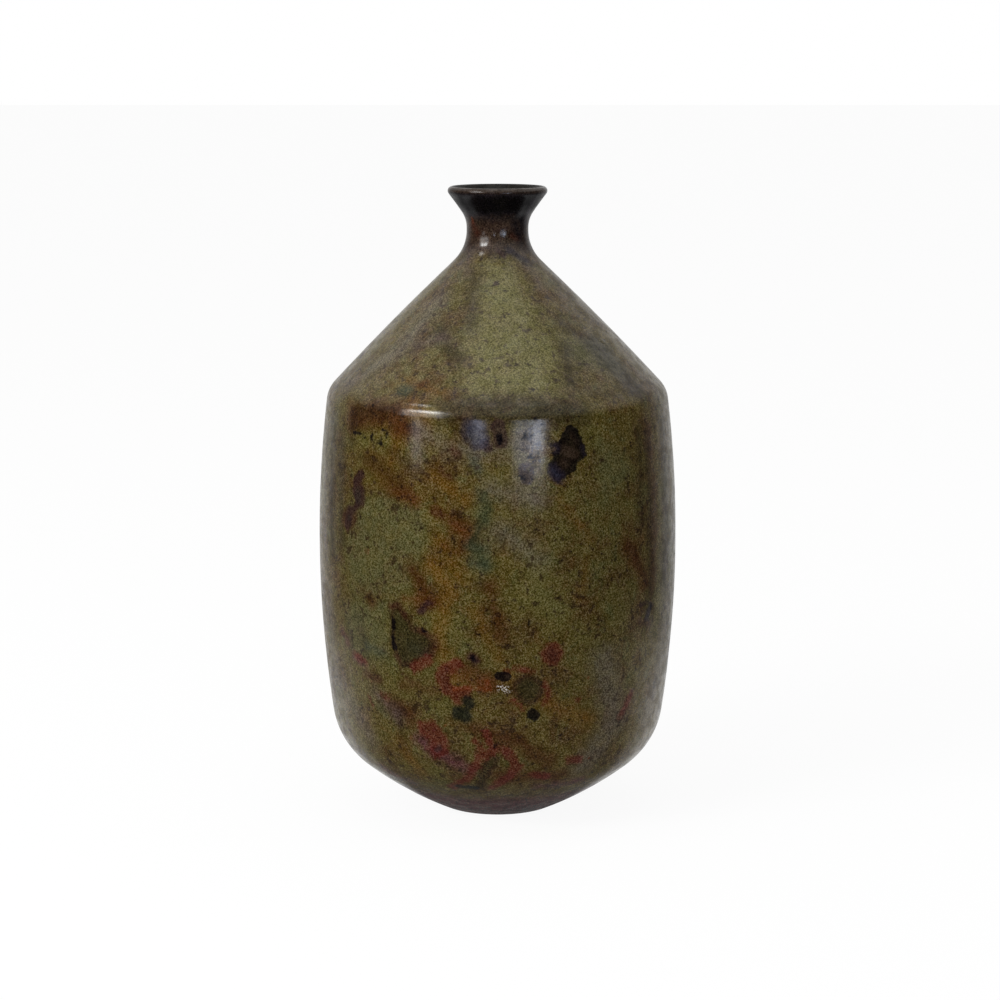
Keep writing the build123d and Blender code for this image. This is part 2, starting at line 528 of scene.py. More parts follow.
MAROON = {
    "C": (1.2, (447, 669), (443, 677), (447, 688)),
    "disc": (2.6, (551, 652), (553, 657)),
    "neck": (1.4, (473, 225), (477, 232)),
    "neck right": (0.8, (512, 236), (518, 240)),
    "shoulder": (1.4, (452, 449), (457, 454)),
    "left of front": (1.6, (434, 512), (442, 516)),
    "patch rim": (1.0, (420, 629), (434, 637), (438, 646), (432, 655)),
    "patch top": (1.2, (391, 606), (400, 606), (405, 616)),
    "patch foot": (0.6, (397, 656), (402, 671), (413, 683)),
    "low middle": (2.2, (471, 657), (475, 661)),
    "diagonal": (1.6, (420, 611), (429, 604)),
    "blotch": (0.9, (573, 434), (579, 446)),
    "chain top": (2.4, (361, 475), (356, 482)),
    "chain middle": (2.6, (358, 488), (359, 502)),
    "chain link": (1.6, (358, 505), (352, 510)),
    "chain ring": (0.6, (350, 507), (356, 511), (357, 520), (352, 529), (347, 530), (342, 520), (344, 511),
                   (350, 507)),
    "low left": (1.8, (366, 674), (380, 680)),
    "edge left": (1.4, (343, 630), (347, 642)),
    "right spot": (1.6, (640, 622), (648, 624)),
    "middle": (1.0, (440, 470), (452, 478)),
}
AMBER = {
    "bottom one": (0.6, (445, 725.5),),
    "bottom two": (0.7, (411.5, 737.5),),
    "bottom three": (0.6, (540, 778.5),),
    "bottom four": (0.6, (588.5, 758),),
    "C band": (0.9, (454, 689), (474, 688), (490, 690)),
    "front": (0.4, (460, 529), (468, 533)),
    "left": (0.5, (370, 702),),
    "left too": (0.5, (373, 709),),
    "left upper": (0.6, (371, 682),),
    "beside sparkle": (0.9, (487, 681), (490, 688)),
    "neck": (0.5, (472, 218), (473, 222)),
    "far right": (0.6, (588, 678),),
}
INDIGO = {
    "flare": (1.2, (534, 200), (526, 222)),
    "neck foot": (1.0, (508, 250), (526, 260)),
    "shoulder": (5.0, (472, 430), (478, 438)),
    "blotch foot": (2.6, (552, 470), (560, 477)),
    "blotch right": (0.8, (582, 446), (584, 454)),
    "blotch left": (1.6, (553, 444), (556, 449)),
    "chain centre": (1.5, (358, 494), (358, 500)),
    "chain ring centre": (1.0, (349.5, 518),),
    "right spot": (1.8, (649, 610), (647, 617)),
}
PLUM = {
    "chain top": (2.0, (361, 475), (356, 482)),
    "chain middle": (0.3, (354, 485), (363, 485), (365, 496), (364, 504), (359, 506), (355, 500), (353, 492),
                     (354, 485)),
    "chain link": (1.2, (358, 504), (352, 511)),
    "chain ring": (2.4, (350, 511), (348, 524)),
    "shoulder": (2.0, (484, 444), (488, 448)),
    "middle": (3.0, (498, 426), (501, 442)),
    "front": (1.9, (522, 470), (529, 480)),
    "diagonal upper": (1.0, (425, 605), (429, 603)),
    "diagonal lower": (1.2, (420, 612), (424, 609)),
    "curl": (0.8, (519, 468), (522, 465), (528, 465), (532, 469), (533, 476), (529, 482), (522, 482)),
    "low middle": (1.6, (472, 657), (475, 661)),
    "right rim": (0.8, (640, 606), (646, 602), (653, 606)),
    "right streak head": (0.9, (633, 690),),
    "cone dot": (1.4, (496, 283),),
    "blotch foot": (2.0, (553, 470), (558, 478)),
    "small": (0.6, (431, 584),),
    "dark of crimson": (1.0, (437, 750), (440, 747)),
    "neck": (1.0, (498, 250), (504, 256)),
}
INK = {
    "blotch": (-0.1, (569, 424), (564, 428), (565, 431), (562, 433), (560, 437), (562, 440), (557, 441),
               (553, 442),
               (552, 446), (555, 449), (551, 454), (553, 458), (549, 462), (548, 466), (551, 470), (548, 473),
               (552, 476), (556, 481), (559, 482), (563, 479), (568, 478), (569, 474), (575, 473), (577, 468),
               (575, 465), (579, 461), (583, 460), (587, 457), (588, 452), (585, 449), (586, 446), (582, 441),
               (583, 438), (580, 434), (579, 429), (574, 427), (569, 424)),
    "left shoulder dot": (0.7, (373, 406),),
    "wiggle": (0.7, (372, 434), (371, 440), (376, 442), (381, 444), (380, 439)),
    "wiggle left": (0.7, (354, 432), (360, 434), (365, 438)),
    "wiggle right": (0.6, (382, 430), (388, 432), (387, 438)),
    "purple middle": (1.3, (499, 437), (500, 442)),
    "front left": (0.9, (521, 477), (524, 479)),
    "front right": (0.6, (532, 479),),
    "streak upper": (1.0, (393, 620), (393.5, 630)),
    "streak lower": (1.1, (393, 637), (395, 649)),
    "patch spot": (0.8, (423, 629), (425, 631)),
    "low middle": (1.0, (472, 657), (474, 661)),
    "front spot": (0.7, (529, 621), (529, 625)),
    "sparkle spot": (1.9, (499, 676), (506, 677)),
    "disc dot": (0.8, (540, 682),),
    "below disc": (2.2, (532, 714), (535, 716)),
    "bottom spot": (0.8, (417, 731),),
    "bottom small": (0.6, (399, 742),),
    "bottom dark": (1.0, (495, 746),),
    "bottom small too": (0.6, (426, 756),),
    "right spot": (0.8, (651, 605), (651, 609)),
    "right spot left": (0.7, (638, 614),),
    "pit one": (0.45, (552, 412),),
    "pit two": (0.4, (559, 410),),
    "pit three": (0.45, (579, 417),),
    "pit four": (0.4, (548, 466),),
    "patch pit one": (0.7, (526, 432),),
    "patch pit two": (0.7, (531, 443),),
    "patch pit three": (0.7, (538, 452),),
    "patch pit four": (0.7, (542, 425),),
    "patch pit five": (0.7, (535, 419),),
    "patch pit six": (0.7, (523, 450),),
    "patch pit seven": (0.7, (544, 438),),
    "patch squiggle": (0.5, (522, 440), (525, 436), (529, 438), (533, 434)),
    "patch squiggle low": (0.5, (527, 458), (531, 455), (535, 459), (541, 457)),
    "dash": (0.4, (604, 330), (607, 332)),
    "scratch": (0.22, (545, 629), (548, 634), (551, 641)),
}
# The neck and the flare
WINE = {
    "neck foot left": (1.0, (466, 246), (462, 262)),
    "neck foot": (1.5, (480, 250), (506, 252)),
    "neck foot right": (1.5, (520, 248), (530, 262)),
}
# Painted darkness: the near-black flare and neck stand in for the dark surroundings that they mirror, and the
# bottom line for the mirrored shadow under the foot
PAINTED_DARKNESS = {
    "bottom line": (0.4, (466, 809), (500, 811), (530, 809)),
    "flare": (1.0, (470, 196), (520, 196)),
    "flare right": (2.0, (528, 196), (522, 226)),
    "neck right": (1.0, (516, 214), (520, 240)),
    "neck middle": (0.5, (486, 212), (506, 216)),
}
# Brown and green parts within the dark marks
BARK = {
    "blotch": (1.8, (565, 450), (575, 455)),
    "blotch low": (0.8, (562, 462), (566, 466)),
    "blotch top": (0.5, (571, 436), (572, 440)),
    "chain": (1.9, (358, 491), (359, 500)),
    "chain ring": (1.2, (349.5, 518),),
    "sparkle spot": (0.4, (508, 677),),
}
# Painted highlights: near-white grains that stand in for a cluster of sparkles
PAINTED_GLINT = {
    "sparkle": (1.5, (500, 688), (508, 690)),
}
MARKS = {
    "khaki": KHAKI,
    "sage": SAGE,
    "ochre": OCHRE,
    "painted_sheen": PAINTED_SHEEN,
    "rust": RUST,
    "copper": COPPER,
    "umber_and_painted_shade": UMBER_AND_PAINTED_SHADE,
    "mauve": MAUVE,
    "rose": ROSE,
    "slate": SLATE,
    "wine": WINE,
    "painted_darkness": PAINTED_DARKNESS,
    "teal": TEAL,
    "moss": MOSS,
    "crimson": CRIMSON,
    "maroon": MAROON,
    "amber": AMBER,
    "plum": PLUM,
    "ink": INK,
    "indigo": INDIGO,
    "verdigris": VERDIGRIS,
    "bark": BARK,
    "painted_glint": PAINTED_GLINT,
}

# How each kind of mark looks, in the order that they are laid: its colour at the edge and at its heart, over
# what width its edge fades and how ragged that edge is, in millimetres, the most that it covers, and how much
# of the grain shows through it
LOOKS = {
    "khaki": ("#565224", "#5C582C", 14.0, 8.0, 0.75, 0.3),
    "sage": ("#4C4A26", "#4E4E2E", 8.0, 9.0, 0.70, 0.4),
    "ochre": ("#5A3C04", "#603F06", 8.0, 10.0, 0.85, 0.4),
    # Painted sheen, a pale grey that stands in for soft reflections
    "painted_sheen": ("#544C40", "#5E564A", 10.0, 10.0, 0.65, 0.4),
    "rust": ("#402002", "#381902", 8.0, 9.0, 0.94, 0.2),
    "copper": ("#502A06", "#562A06", 5.0, 8.0, 0.70, 0.4),
    # Umber, used both as patina and as painted shade
    "umber_and_painted_shade": ("#20150A", "#180F06", 9.0, 8.0, 0.70, 0.2),
    "mauve": ("#4A3C36", "#544240", 8.0, 7.0, 0.65, 0.3),
    "rose": ("#4C262C", "#522A32", 6.0, 9.0, 0.85, 0.3),
    "slate": ("#2E3630", "#343E3A", 5.0, 6.0, 0.60, 0.3),
    "wine": ("#322620", "#2A1C18", 6.0, 8.0, 0.92, 0.10),
    # Painted darkness, for mirrored dark and shade
    "painted_darkness": ("#090B14", "#05060A", 6.0, 8.0, 0.95, 0.04),
    "teal": ("#30361F", "#343E2A", 3.6, 6.0, 0.80, 0.35),
    "moss": ("#2A180A", "#26220C", 2.8, 5.0, 0.88, 0.20),
    "crimson": ("#521A10", "#4C160E", 2.4, 6.5, 0.88, 0.25),
    "maroon": ("#38180C", "#3A120A", 3.0, 5.0, 0.80, 0.30),
    "amber": ("#6C2E0A", "#74340E", 1.2, 2.4, 0.70, 0.5),
    "plum": ("#2C1A18", "#221416", 1.6, 3.4, 0.88, 0.15),
    "ink": ("#050307", "#120B0A", 0.8, 3.4, 0.95, 0.08),
    "indigo": ("#221C24", "#2A2C3A", 2.4, 4.4, 0.80, 0.15),
    "verdigris": ("#0C100A", "#0E160C", 2.2, 4.0, 0.92, 0.10),
    "bark": ("#30241A", "#3A301C", 1.6, 3.6, 0.85, 0.20),
}
HEART_DEPTH = (1.2, 3.4)
SOFT_KINDS = ("khaki", "sage", "ochre", "painted_sheen", "rust", "copper", "umber_and_painted_shade", "mauve", "rose", "slate")

# Bands that run right round the vase, as (low, high) in millimetres of height
UNDERSIDE_BELT = (-4.0, 14.0)
LIP_BELT = (253.2, 258.0)
NECK_BELT = (228.0, 262.0)
FLARE_BELT = (243.0, 254.0)
CAVITY_DEPTH = 12.0

# Marks on the sides and the back, which the photograph doesn't show: how many of each kind, how long and how
# wide they are in millimetres, and the heights that they lie between
UNSEEN = {
    "khaki": (9, 26.0, 5.0, 20, 215),
    "ochre": (12, 20.0, 4.0, 20, 190),
    # Painted sheen is strewn on the sides and the back as well
    "painted_sheen": (10, 26.0, 5.0, 20, 200),
    "sage": (10, 26.0, 6.0, 20, 200),
    "rust": (12, 22.0, 5.0, 30, 200),
    "copper": (10, 10.0, 2.2, 20, 200),
    "umber_and_painted_shade": (9, 26.0, 4.0, 20, 215),
    "mauve": (8, 20.0, 3.0, 20, 215),
    "slate": (6, 8.0, 2.0, 30, 200),
    "moss": (7, 10.0, 3.2, 25, 170),
    "verdigris": (6, 6.0, 2.0, 15, 120),
    "teal": (7, 8.0, 2.2, 40, 200),
    "rose": (6, 12.0, 3.0, 10, 70),
    "indigo": (5, 4.0, 1.8, 60, 190),
    "crimson": (20, 9.0, 1.5, 12, 110),
    "amber": (12, 3.0, 0.7, 12, 130),
    "plum": (14, 6.0, 1.5, 30, 190),
    "ink": (26, 4.0, 1.0, 20, 195),
}
UNSEEN_SPAN = (78.0, 282.0)
UNSEEN_SEED = 7
UNSEEN_STEPS = (1, 3)
UNSEEN_BEND = 1.2
UNSEEN_STRIDE = (0.3, 1.0)
UNSEEN_WIDTH = (0.5, 1.3)
LEAST_GIRTH = 10


def paint_seen(skin, wall):
    """The marks that the photograph shows, and the bands that go on round from it."""
    for kind, marks in MARKS.items():
        for grown, *pixels in marks.values():
            skin.mark(kind, [wall_under_pixel(wall, x, y) for x, y in pixels], grown)
    # The rose belt round the underside is partly a painted reflection of the pale floor
    skin.belt("rose", *UNDERSIDE_BELT)
    skin.belt("bark", *LIP_BELT)
    skin.belt("wine", *NECK_BELT)
    # The flare belt is painted dark reflection, and the cavity is painted shade
    skin.belt("painted_darkness", *FLARE_BELT)
    skin.inside("painted_darkness", CAVITY_DEPTH)


def paint_unseen(skin, wall):
    """The same kinds of marks on the sides and the back, strewn as they are on the front."""
    chance = random.Random(UNSEEN_SEED)
    for kind, (count, length, width, low, high) in UNSEEN.items():
        for _ in range(count):
            azimuth = chance.uniform(*UNSEEN_SPAN)
            height = chance.uniform(low, high)
            heading = chance.uniform(0, math.tau)
            places = [wall_at_height(wall, azimuth, height)]
            for _ in range(chance.randint(*UNSEEN_STEPS)):
                heading += chance.uniform(-UNSEEN_BEND, UNSEEN_BEND)
                step = length / 2 * chance.uniform(*UNSEEN_STRIDE)
                reach = max(places[-1][0].to_2d().length / MM, LEAST_GIRTH)
                azimuth += math.degrees(step * math.cos(heading) / reach)
                height = min(max(height + step * math.sin(heading), low), high)
                places.append(wall_at_height(wall, azimuth, height))
            skin.mark(kind, places, width * chance.uniform(*UNSEEN_WIDTH))


OLIVE = "#4E4116"
OLIVE_BROWN = "#432F12"
OLIVE_GREEN = "#4C441C"
FLECK_LIGHT = "#75694A"
WARM_TINT = "#4A2E0C"
COOL_TINT = "#444828"
FRECKLE_BROWN = "#241406"
PIT_BROWN = "#0E0904"
# Near-white of the painted sparkle highlights
PAINTED_SPARKLE_WHITE = "#DCD8D0"

# Noises of the patina: size in millimetres, detail, roughness and distortion. Real grains are 0.3 to 1 mm.
NOISES = {
    "drift": (70, 2.0, 0.5, 0.0),
    "cloud": (13, 5.0, 0.65, 0.0),
    "warmth": (8, 4.0, 0.7, 0.6),
    "mottle": (4.5, 4.0, 0.7, 0.0),
    "freckle": (2.6, 2.0, 0.6, 0.0),
    "ragged": (4, 6.0, 0.8, 0.0),
    "grain": (0.62, 2.0, 0.75, 0.5),
}

# Spacing of pits and strokes and height of the relief, in millimetres. A stretch is a scale.
PIT_SPACING = 1.9
STROKE_SPACING = 2.4
STROKE_STRETCH = 0.12
SKIN_RELIEF = 0.16
WAX_RELIEF = 0.06

# Ranges of a noise's value, and what it gives at either end
GRAIN_RANGE = (0.34, 0.66)
GRAIN_LIGHTNESS = (0.33, 1.57)
GRAIN_STRENGTH = (1.15, 0.85)
MOTTLE_RANGE = (0.3, 0.7)
MOTTLE_LIGHTNESS = (0.85, 1.15)
WEAR_RANGE = (0.35, 0.65)
PIT_REACH = -0.49

# Filed sheet and solder, in the same units
FILE_SPACING = 0.7
FILE_STRETCH = 0.08
FILE_RELIEF = 0.05
SHEET_CLOUD = 7
SOLDER_CLOUD = 2.5
SOLDER_RELIEF = 0.1
WHITE = "#FFFFFF"
PAPER_WHITE = "#F6F6F6"
SMOOTH = {"interpolation_type": "SMOOTHSTEP"}
COLOURS = {"data_type": "RGBA"}


def per_mm(size):
    """The scale of a texture on Object coordinates whose features are this many millimetres apart."""
    return 1 / (size * MM)


def lay_mark(tree, kind, under, ragged, grain):
    """Lays one kind of mark over a colour, with a ragged edge. The grain of the ground wears it through."""
    edge, heart, fade, raggedness, cover, wear = LOOKS[kind]
    middle = raggedness / 2
    depth = add(tree, "Attribute", attribute_name=kind).outputs["Fac"]
    shifted = add(tree, "Math", {0: ragged, 1: raggedness, 2: depth}, operation="MULTIPLY_ADD").outputs[0]
    limits = {0: shifted, 1: middle - fade / 2, 2: middle + fade / 2, 3: 0.0, 4: cover}
    share = add(tree, "MapRange", limits, **SMOOTH).outputs[0]
    limits = {0: grain, 1: WEAR_RANGE[0], 2: WEAR_RANGE[1], 3: 1.0, 4: 1 - wear}
    kept = add(tree, "MapRange", limits, **SMOOTH).outputs[0]
    limits = {0: shifted, 1: middle + HEART_DEPTH[0], 2: middle + HEART_DEPTH[1]}
    hearts = add(tree, "MapRange", limits, **SMOOTH).outputs[0]
    colour = add(tree, "Mix", {0: hearts, 6: linear(edge), 7: linear(heart)}, **COLOURS).outputs[2]
    share = add(tree, "Math", {0: share, 1: kept}, operation="MULTIPLY").outputs[0]
    return add(tree, "Mix", {0: share, 6: under, 7: colour}, **COLOURS).outputs[2]


def lay_tint(tree, under, value, low, high, most, tint):
    """Lays a tint over a colour, up to its most, as a value goes from low to high."""
    limits = {0: value, 1: low, 2: high, 4: most}
    share = add(tree, "MapRange", limits, **SMOOTH).outputs[0]
    return add(tree, "Mix", {0: share, 6: under, 7: linear(tint)}, **COLOURS).outputs[2]


def patinated_bronze():
    """Cast bronze, chemically patinated and waxed: a mottled olive and rust skin under a soft waxy sheen."""
    material, tree, output = new_material("patinated_cast_bronze")
    place = add(tree, "TexCoord").outputs["Object"]
    made = []
    for size, detail, roughness, distortion in NOISES.values():
        links = {"Vector": place, "Scale": per_mm(size), "Detail": detail}
        links |= {"Roughness": roughness, "Distortion": distortion}
        made.append(add(tree, "TexNoise", links).outputs["Fac"])
    drift, cloud, warmth, mottle, freckle, ragged, grain = made

    # The ground: olive that drifts towards green, clouded with brown, warmer and cooler in patches.
    # Pale grains show through the ground, and less so through the tints that lie over it.
    colour = linear(OLIVE_GREEN)
    for value, low, high, most, tint in (
        (drift, 0.38, 0.62, 1.0, OLIVE),
        (cloud, 0.42, 0.66, 0.8, OLIVE_BROWN),
        (warmth, 0.50, 0.70, 0.5, WARM_TINT),
        (warmth, 0.46, 0.32, 0.45, COOL_TINT),
        (grain, 0.52, 0.72, 0.30, FLECK_LIGHT),
    ):
        colour = lay_tint(tree, colour, value, low, high, most, tint)
    for kind in SOFT_KINDS:
        colour = lay_mark(tree, kind, colour, ragged, mottle)

    # Brown freckles in clusters, and pits that hold dark wax
    clustered = add(tree, "Math", {0: cloud, 1: 0.5, 2: freckle}, operation="MULTIPLY_ADD").outputs[0]
    colour = lay_tint(tree, colour, clustered, 0.82, 0.95, 0.7, FRECKLE_BROWN)
    pits = add(tree, "TexVoronoi", {"Vector": place, "Scale": per_mm(PIT_SPACING)}).outputs["Distance"]
    reach = add(tree, "Math", {0: freckle, 1: 1.0, 2: PIT_REACH}, operation="MULTIPLY_ADD").outputs[0]
    depth = add(tree, "Math", {0: reach, 1: pits}, operation="SUBTRACT").outputs[0]
    colour = lay_tint(tree, colour, depth, -0.05, 0.07, 0.65, PIT_BROWN)

    for kind in LOOKS:
        if kind not in SOFT_KINDS:
            colour = lay_mark(tree, kind, colour, ragged, grain)

    # The grain lightens and greys the colour, or darkens and deepens it
    low, high = GRAIN_RANGE
    links = {0: grain, 1: low, 2: high, 3: GRAIN_LIGHTNESS[0], 4: GRAIN_LIGHTNESS[1]}
    lightness = add(tree, "MapRange", links, **SMOOTH).outputs[0]
    links = {0: grain, 1: low, 2: high, 3: GRAIN_STRENGTH[0], 4: GRAIN_STRENGTH[1]}
    strength = add(tree, "MapRange", links, **SMOOTH).outputs[0]
    links = {"Saturation": strength, "Value": lightness, "Color": colour}
    colour = add(tree, "HueSaturation", links).outputs[0]
    low, high = MOTTLE_RANGE
    links = {0: mottle, 1: low, 2: high, 3: MOTTLE_LIGHTNESS[0], 4: MOTTLE_LIGHTNESS[1]}
    lightness = add(tree, "MapRange", links, **SMOOTH).outputs[0]
    colour = add(tree, "HueSaturation", {"Value": lightness, "Color": colour}).outputs[0]

    # Painted highlight: near-white grains inside the glint mark stand in for sparkles
    painted_sparkle_region = add(tree, "Attribute", attribute_name="painted_glint").outputs["Fac"]
    limits = {0: painted_sparkle_region, 1: -0.5, 2: 1.0}
    share = add(tree, "MapRange", limits, **SMOOTH).outputs[0]
    limits = {0: grain, 1: 0.55, 2: 0.61, 4: 0.9}
    sparkle_grains = add(tree, "MapRange", limits, **SMOOTH).outputs[0]
    share = add(tree, "Math", {0: share, 1: sparkle_grains}, operation="MULTIPLY").outputs[0]
    colour = add(tree, "Mix", {0: share, 6: colour, 7: linear(PAINTED_SPARKLE_WHITE)}, **COLOURS).outputs[2]

    # Rubbing down left upright strokes under the grain. The wax lies unevenly over both.
    upright = add(tree, "Mapping", {"Vector": place, "Scale": (1.0, 1.0, STROKE_STRETCH)}).outputs[0]
    links = {"Vector": upright, "Scale": per_mm(STROKE_SPACING), "Detail": 3.0}
    rubbed = add(tree, "TexNoise", links).outputs["Fac"]
    relief = add(tree, "Math", {0: grain, 1: 0.7, 2: rubbed}, operation="MULTIPLY_ADD").outputs[0]
    bump = add(tree, "Bump", {"Strength": 0.4, "Distance": SKIN_RELIEF * MM, "Height": relief}).outputs[0]
    limits = {0: grain, 1: 0.3, 2: 0.7, 3: 0.36, 4: 0.52}
    roughness = add(tree, "MapRange", limits, **SMOOTH).outputs[0]
    limits = {0: mottle, 1: 0.38, 2: 0.62, 3: 0.35, 4: 0.65}
    wax = add(tree, "MapRange", limits, **SMOOTH).outputs[0]
    for kind, reach in (("painted_darkness", 6.0), ("ink", 0.5)):
        dark = add(tree, "Attribute", attribute_name=kind).outputs["Fac"]
        waxed = add(tree, "MapRange", {0: dark, 1: -0.5, 2: reach, 3: 1.0, 4: 0.35}).outputs[0]
        wax = add(tree, "Math", {0: wax, 1: waxed}, operation="MULTIPLY").outputs[0]
    grained = add(tree, "Bump", {"Strength": 0.3, "Distance": WAX_RELIEF * MM, "Height": grain}).outputs[0]
    finish = {
        "Base Color": colour,
        "Metallic": 0.3,
        "Roughness": roughness,
        "Specular IOR Level": 0.0,
        "Coat Weight": wax,
        "Coat Roughness": 0.15,
        "Coat Normal": grained,
        "Normal": bump,
    }
    surface = add(tree, "BsdfPrincipled", finish)
    tree.links.new(surface.outputs[0], output.inputs["Surface"])
    return material


def plain_bronze():
    """Cut bronze sheet under a thin brown patina, which shows the fine lines of the file."""
    material, tree, output = new_material("filed_bronze_sheet")
    place = add(tree, "TexCoord").outputs["Object"]
    lines_place = add(tree, "Mapping", {"Vector": place, "Scale": (FILE_STRETCH, 1.0, 1.0)}).outputs[0]
    links = {"Vector": lines_place, "Scale": per_mm(FILE_SPACING), "Detail": 3.0}
    lines = add(tree, "TexNoise", links).outputs["Fac"]
    links = {"Vector": place, "Scale": per_mm(SHEET_CLOUD), "Detail": 5.0}
    cloud = add(tree, "TexNoise", links).outputs["Fac"]
    share = add(tree, "MapRange", {0: cloud, 1: 0.35, 2: 0.65}).outputs[0]
    links = {0: share, 6: linear("#5A4426"), 7: linear("#2F2415")}
    colour = add(tree, "Mix", links, **COLOURS).outputs[2]
    share = add(tree, "MapRange", {0: lines, 1: 0.52, 2: 0.7, 4: 0.5}).outputs[0]
    colour = add(tree, "Mix", {0: share, 6: colour, 7: linear("#8A6B3C")}, **COLOURS).outputs[2]
    bump = add(tree, "Bump", {"Strength": 0.3, "Distance": FILE_RELIEF * MM, "Height": lines}).outputs[0]
    finish = {"Base Color": colour, "Metallic": 0.85, "Roughness": 0.42, "Normal": bump}
    surface = add(tree, "BsdfPrincipled", finish)
    tree.links.new(surface.outputs[0], output.inputs["Surface"])
    return material


def soft_solder():
    """Tin solder that was run round with an iron, dulled to a grey skin."""
    material, tree, output = new_material("tin_solder")
    place = add(tree, "TexCoord").outputs["Object"]
    links = {"Vector": place, "Scale": per_mm(SOLDER_CLOUD), "Detail": 4.0}
    cloud = add(tree, "TexNoise", links).outputs["Fac"]
    share = add(tree, "MapRange", {0: cloud, 1: 0.35, 2: 0.65}).outputs[0]
    links = {0: share, 6: linear("#8C8B86"), 7: linear("#5B5955")}
    colour = add(tree, "Mix", links, **COLOURS).outputs[2]
    bump = add(tree, "Bump", {"Strength": 0.4, "Distance": SOLDER_RELIEF * MM, "Height": cloud}).outputs[0]
    roughness = add(tree, "MapRange", {0: cloud, 1: 0.3, 2: 0.7, 3: 0.38, 4: 0.6}).outputs[0]
    finish = {"Base Color": colour, "Metallic": 0.9, "Roughness": roughness, "Normal": bump}
    surface = add(tree, "BsdfPrincipled", finish)
    tree.links.new(surface.outputs[0], output.inputs["Surface"])
    return material


def core_plugs(wall, material):
    """The three bronze plugs in the holes of the core pins, dressed down almost flush with the cone."""
    mesh = bmesh.new()
    for azimuth in PLUG_AZIMUTHS:
        turn = math.radians(azimuth)
        away = Vector((math.cos(turn), math.sin(turn), 0))
        place, outward, _, _ = wall.ray_cast(away + Vector((0, 0, PLUG_HEIGHT * MM)), -away)
        upright = outward.to_track_quat("Z", "Y").to_matrix().to_4x4()
        drop = outward * (PLUG_DEPTH / 2 - PLUG_PROUD) * MM
        made = bmesh.ops.create_cone(
            mesh,
            cap_ends=True,
            segments=PLUG_SEGMENTS,
            radius1=PLUG_RADIUS * MM,
            radius2=PLUG_RADIUS * MM,
            depth=PLUG_DEPTH * MM,
            matrix=Matrix.Translation(place - drop) @ upright,
        )
        rims = {edge for vertex in made["verts"] for edge in vertex.link_edges if len(edge.link_faces) == 2}
        rims = [edge for edge in rims if abs(edge.calc_face_angle(0)) > math.radians(PLUG_RIM_ANGLE)]
        offset, segments = PLUG_BEVEL * MM, BEVEL_SEGMENTS
        bmesh.ops.bevel(
            mesh, geom=rims, offset=offset, affect="EDGES", segments=segments, profile=0.5, material=-1
        )
    return finish_piece("core_plugs", mesh, material, "plug_bronze", "shoulder_core_plugs")


# Studio: the world, the lamps and the floor
ROOM_LEVEL = 0.60
FRONT_LEVEL = 0.08
BACKDROP_EDGE = (0.38, 0.43)
BACKDROP_EDGE_LEVEL = 0.36
BACKDROP_FULL = 0.97
BACKDROP_LEVEL = 0.85
OVERHEAD_FROM = 0.12
OVERHEAD_FULL = 0.60
OVERHEAD_LEVEL = 1.1
LAMP_DISTANCE = 1.8
LAMP_AIM = 190.0

# Lamps: azimuth from the front and elevation in degrees, width and height in metres, watts, and a tint unless
# white. Their directions start from those that the highlights in the photograph reflect.
LAMPS = {
    "left_window": (-51.0, 20.0, 0.95, 0.62, 10.0),
    "left_window_bright": (-51.0, 28.0, 0.60, 0.18, 12.0),
    "left_window_top": (-67.0, 48.0, 0.30, 0.18, 2.4),
    "left_column": (-53.0, 2.0, 0.20, 0.12, 0.4),
    "far_window": (20.0, 3.0, 0.62, 0.28, 3.0, "#DCE8FF"),
    "far_window_bright": (25.5, 4.0, 0.26, 0.22, 1.5, "#DCE8FF"),
    "small_window": (-12.0, 6.0, 0.16, 0.11, 1.0, "#E0E6FF"),
    "ceiling": (12.0, 80.0, 1.3, 1.2, 4.0),
}


def mirrored_backdrop(tree, direction):
    """What the metal mirrors in a level direction: dim in front, and a backdrop that brightens behind."""
    behind = add(tree, "SeparateXYZ", {0: direction}).outputs["Y"]
    low, high = BACKDROP_EDGE
    limits = {0: behind, 1: low, 2: high, 3: FRONT_LEVEL, 4: BACKDROP_EDGE_LEVEL}
    edge = add(tree, "MapRange", limits, **SMOOTH).outputs[0]
    rise = BACKDROP_LEVEL - BACKDROP_EDGE_LEVEL
    limits = {0: behind, 1: high, 2: BACKDROP_FULL, 3: 0.0, 4: rise}
    rest = add(tree, "MapRange", limits, **SMOOTH).outputs[0]
    return add(tree, "Math", {0: edge, 1: rest}, operation="ADD").outputs[0]


def white_room():
    """A room that the eye sees as white. The metal mirrors it dim in front, and bright behind and above."""
    world = bpy.data.worlds.new("white_room")
    bpy.context.scene.world = world
    world.use_nodes = True
    tree = world.node_tree
    tree.nodes.clear()
    ray = add(tree, "LightPath")
    direction = add(tree, "TexCoord").outputs["Generated"]
    upwards = add(tree, "SeparateXYZ", {0: direction}).outputs["Z"]
    limits = {0: upwards, 1: OVERHEAD_FROM, 2: OVERHEAD_FULL, 3: 0.0, 4: OVERHEAD_LEVEL}
    overhead = add(tree, "MapRange", limits, **SMOOTH).outputs[0]
    backdrop = mirrored_backdrop(tree, direction)
    mirrored = add(tree, "Math", {0: backdrop, 1: overhead}, operation="MAXIMUM").outputs[0]
    extra = add(tree, "Math", {0: mirrored, 1: ROOM_LEVEL}, operation="SUBTRACT").outputs[0]
    links = {0: ray.outputs["Is Glossy Ray"], 1: extra, 2: ROOM_LEVEL}
    level = add(tree, "Math", links, operation="MULTIPLY_ADD").outputs[0]
    for seen in ("Is Camera Ray", "Is Transmission Ray"):
        level = add(tree, "Math", {0: level, 1: ray.outputs[seen]}, operation="MAXIMUM").outputs[0]
    background = add(tree, "Background", {"Color": linear(WHITE), "Strength": level})
    add(tree, "OutputWorld", {"Surface": background.outputs[0]})


